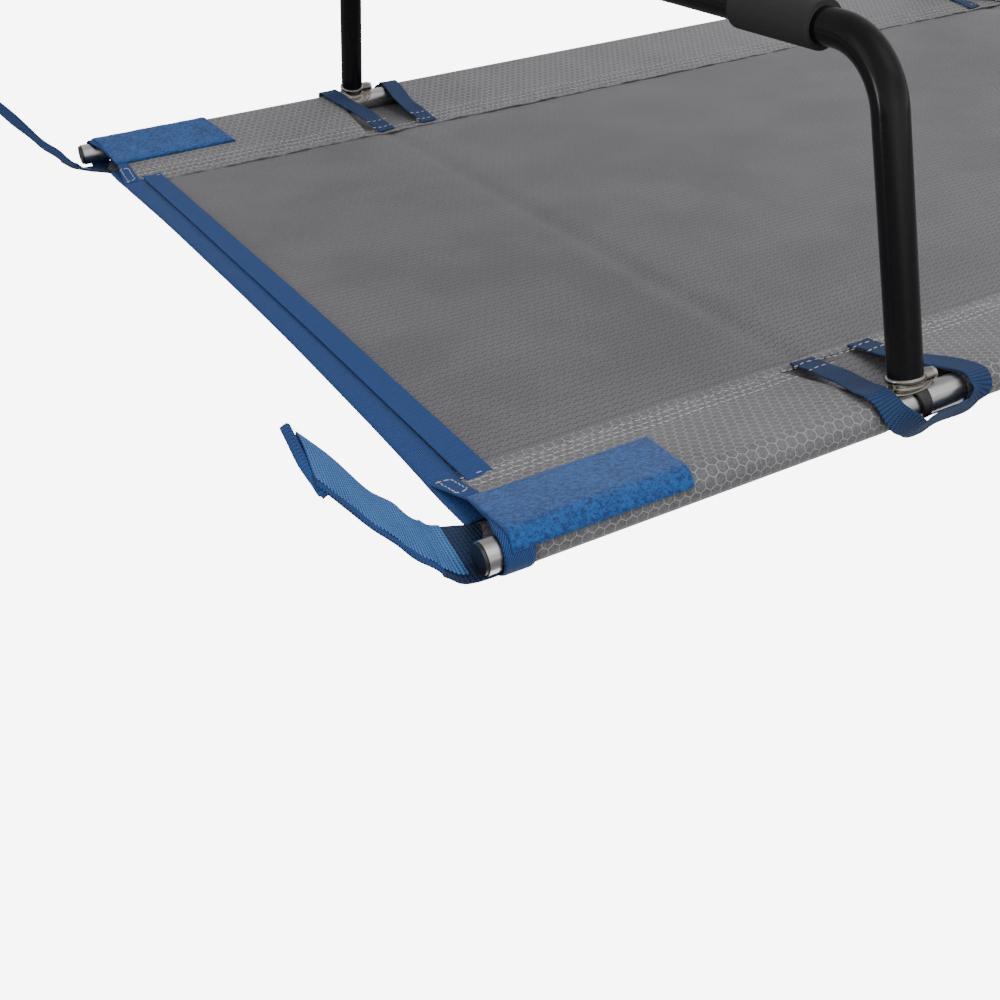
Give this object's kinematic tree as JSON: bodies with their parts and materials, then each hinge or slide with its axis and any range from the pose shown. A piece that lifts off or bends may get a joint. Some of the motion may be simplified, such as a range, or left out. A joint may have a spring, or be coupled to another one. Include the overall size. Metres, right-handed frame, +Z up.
{
  "type": "camp cot",
  "caption": "Low folding camp cot with a taut fabric bed on side rails, U-shaped leg bows and a hook-and-loop strap at each corner.",
  "frame": {"origin": "on the floor under the middle of the bed", "axes": "+Z up, +X along the bed from the head to the foot, +Y to the left side"},
  "size_m": [2.0348, 0.7244, 0.1921],
  "materials": {
    "bed_fabric": "matt coated ripstop with a fine honeycomb grid",
    "blue_webbing": "woven blue webbing",
    "blue_binding": "fine ribbed blue binding tape",
    "loop_pile": "fuzzy blue loop pile",
    "hook_tape": "shiny blue hook tape",
    "rail_tube": "satin",
    "ferrule_tube": "plain drawn tube",
    "leg_tube": "gloss black",
    "cast_fitting": "bright nickel",
    "black_latch": "semi-gloss black",
    "rivet_steel": "turned steel",
    "plug_plastic": "moulded black",
    "grip_rubber": "matt black"
  },
  "bodies": {
    "bed": {"rail_left_head": "rail_tube", "rail_left_middle": "rail_tube", "rail_left_foot": "rail_tube", "sleeve_left": "bed_fabric", "cutout_webbing_left": "blue_webbing", "rail_right_head": "rail_tube", "rail_right_middle": "rail_tube", "rail_right_foot": "rail_tube", "sleeve_right": "bed_fabric", "cutout_webbing_right": "blue_webbing", "rail_ferrules": "ferrule_tube", "end_plugs": "plug_plastic", "sleeping_panel": "bed_fabric", "head_edge_binding": "blue_binding", "head_edge_webbing": "blue_webbing", "foot_edge_binding": "blue_binding", "foot_edge_webbing": "blue_webbing", "mouth_bindings": "blue_binding", "loop_pad_head_left": "loop_pile", "strap_root_head_left": "blue_webbing", "loop_pad_head_right": "loop_pile", "strap_root_head_right": "blue_webbing", "loop_pad_foot_left": "loop_pile", "strap_root_foot_left": "blue_webbing", "loop_pad_foot_right": "loop_pile", "strap_root_foot_right": "blue_webbing"},
    "head_bow": {"head_leg_left": "leg_tube", "head_leg_right": "leg_tube", "head_leg_ferrule": "ferrule_tube", "head_rail_saddles": "cast_fitting", "head_latch_hooks": "black_latch", "head_neck_rivets": "rivet_steel", "head_floor_grips": "grip_rubber"},
    "middle_bow": {"middle_leg_left": "leg_tube", "middle_leg_right": "leg_tube", "middle_leg_ferrule": "ferrule_tube", "middle_rail_saddles": "cast_fitting", "middle_latch_hooks": "black_latch", "middle_neck_rivets": "rivet_steel", "middle_floor_grips": "grip_rubber"},
    "foot_bow": {"foot_leg_left": "leg_tube", "foot_leg_right": "leg_tube", "foot_leg_ferrule": "ferrule_tube", "foot_rail_saddles": "cast_fitting", "foot_latch_hooks": "black_latch", "foot_neck_rivets": "rivet_steel", "foot_floor_grips": "grip_rubber"},
    "strap_fold_head_left": {"strap_link_head_left": "blue_webbing"},
    "strap_end_head_left": {"strap_tail_head_left": "blue_webbing", "hook_tape_head_left": "hook_tape"},
    "strap_fold_head_right": {"strap_link_head_right": "blue_webbing"},
    "strap_end_head_right": {"strap_tail_head_right": "blue_webbing", "hook_tape_head_right": "hook_tape"},
    "strap_fold_foot_left": {"strap_link_foot_left": "blue_webbing"},
    "strap_end_foot_left": {"strap_tail_foot_left": "blue_webbing", "hook_tape_foot_left": "hook_tape"},
    "strap_fold_foot_right": {"strap_link_foot_right": "blue_webbing"},
    "strap_end_foot_right": {"strap_tail_foot_right": "blue_webbing", "hook_tape_foot_right": "hook_tape"}
  },
  "joints": [
    {"name": "head_bow_slide", "type": "slide", "parent": "bed", "child": "head_bow", "axis": [1, 0, 0], "range_m": [-0.0025, 0.01]},
    {"name": "middle_bow_slide", "type": "slide", "parent": "bed", "child": "middle_bow", "axis": [1, 0, 0], "range_m": [-0.006, 0.006]},
    {"name": "foot_bow_slide", "type": "slide", "parent": "bed", "child": "foot_bow", "axis": [1, 0, 0], "range_m": [-0.01, 0.0025]},
    {"name": "strap_fold_head_left", "type": "hinge", "parent": "bed", "child": "strap_fold_head_left", "pos_m": [-0.96, 0.3275, 0.1912], "axis": [0, -1, 0], "range_deg": [-20, 48]},
    {"name": "strap_curl_head_left", "type": "hinge", "parent": "strap_fold_head_left", "child": "strap_end_head_left", "pos_m": [-0.97761, 0.3275, 0.17534], "axis": [0, -1, 0], "range_deg": [-31.25, 75]},
    {"name": "strap_fold_head_right", "type": "hinge", "parent": "bed", "child": "strap_fold_head_right", "pos_m": [-0.96, -0.3275, 0.1912], "axis": [0, -1, 0], "range_deg": [-20, 48]},
    {"name": "strap_curl_head_right", "type": "hinge", "parent": "strap_fold_head_right", "child": "strap_end_head_right", "pos_m": [-0.97761, -0.3275, 0.17534], "axis": [0, -1, 0], "range_deg": [-31.25, 75]},
    {"name": "strap_fold_foot_left", "type": "hinge", "parent": "bed", "child": "strap_fold_foot_left", "pos_m": [0.96, 0.3275, 0.1912], "axis": [0, 1, 0], "range_deg": [-20, 48]},
    {"name": "strap_curl_foot_left", "type": "hinge", "parent": "strap_fold_foot_left", "child": "strap_end_foot_left", "pos_m": [0.97761, 0.3275, 0.17534], "axis": [0, 1, 0], "range_deg": [-31.25, 75]},
    {"name": "strap_fold_foot_right", "type": "hinge", "parent": "bed", "child": "strap_fold_foot_right", "pos_m": [0.96, -0.3275, 0.1912], "axis": [0, 1, 0], "range_deg": [-20, 48]},
    {"name": "strap_curl_foot_right", "type": "hinge", "parent": "strap_fold_foot_right", "child": "strap_end_foot_right", "pos_m": [0.97761, -0.3275, 0.17534], "axis": [0, 1, 0], "range_deg": [-31.25, 75]}
  ],
  "couplings": [
    {"joint": "strap_fold_head_left", "follows": "strap_curl_head_left", "ratio": 0.64},
    {"joint": "strap_fold_head_right", "follows": "strap_curl_head_right", "ratio": 0.64},
    {"joint": "strap_fold_foot_left", "follows": "strap_curl_foot_left", "ratio": 0.64},
    {"joint": "strap_fold_foot_right", "follows": "strap_curl_foot_right", "ratio": 0.64}
  ]
}
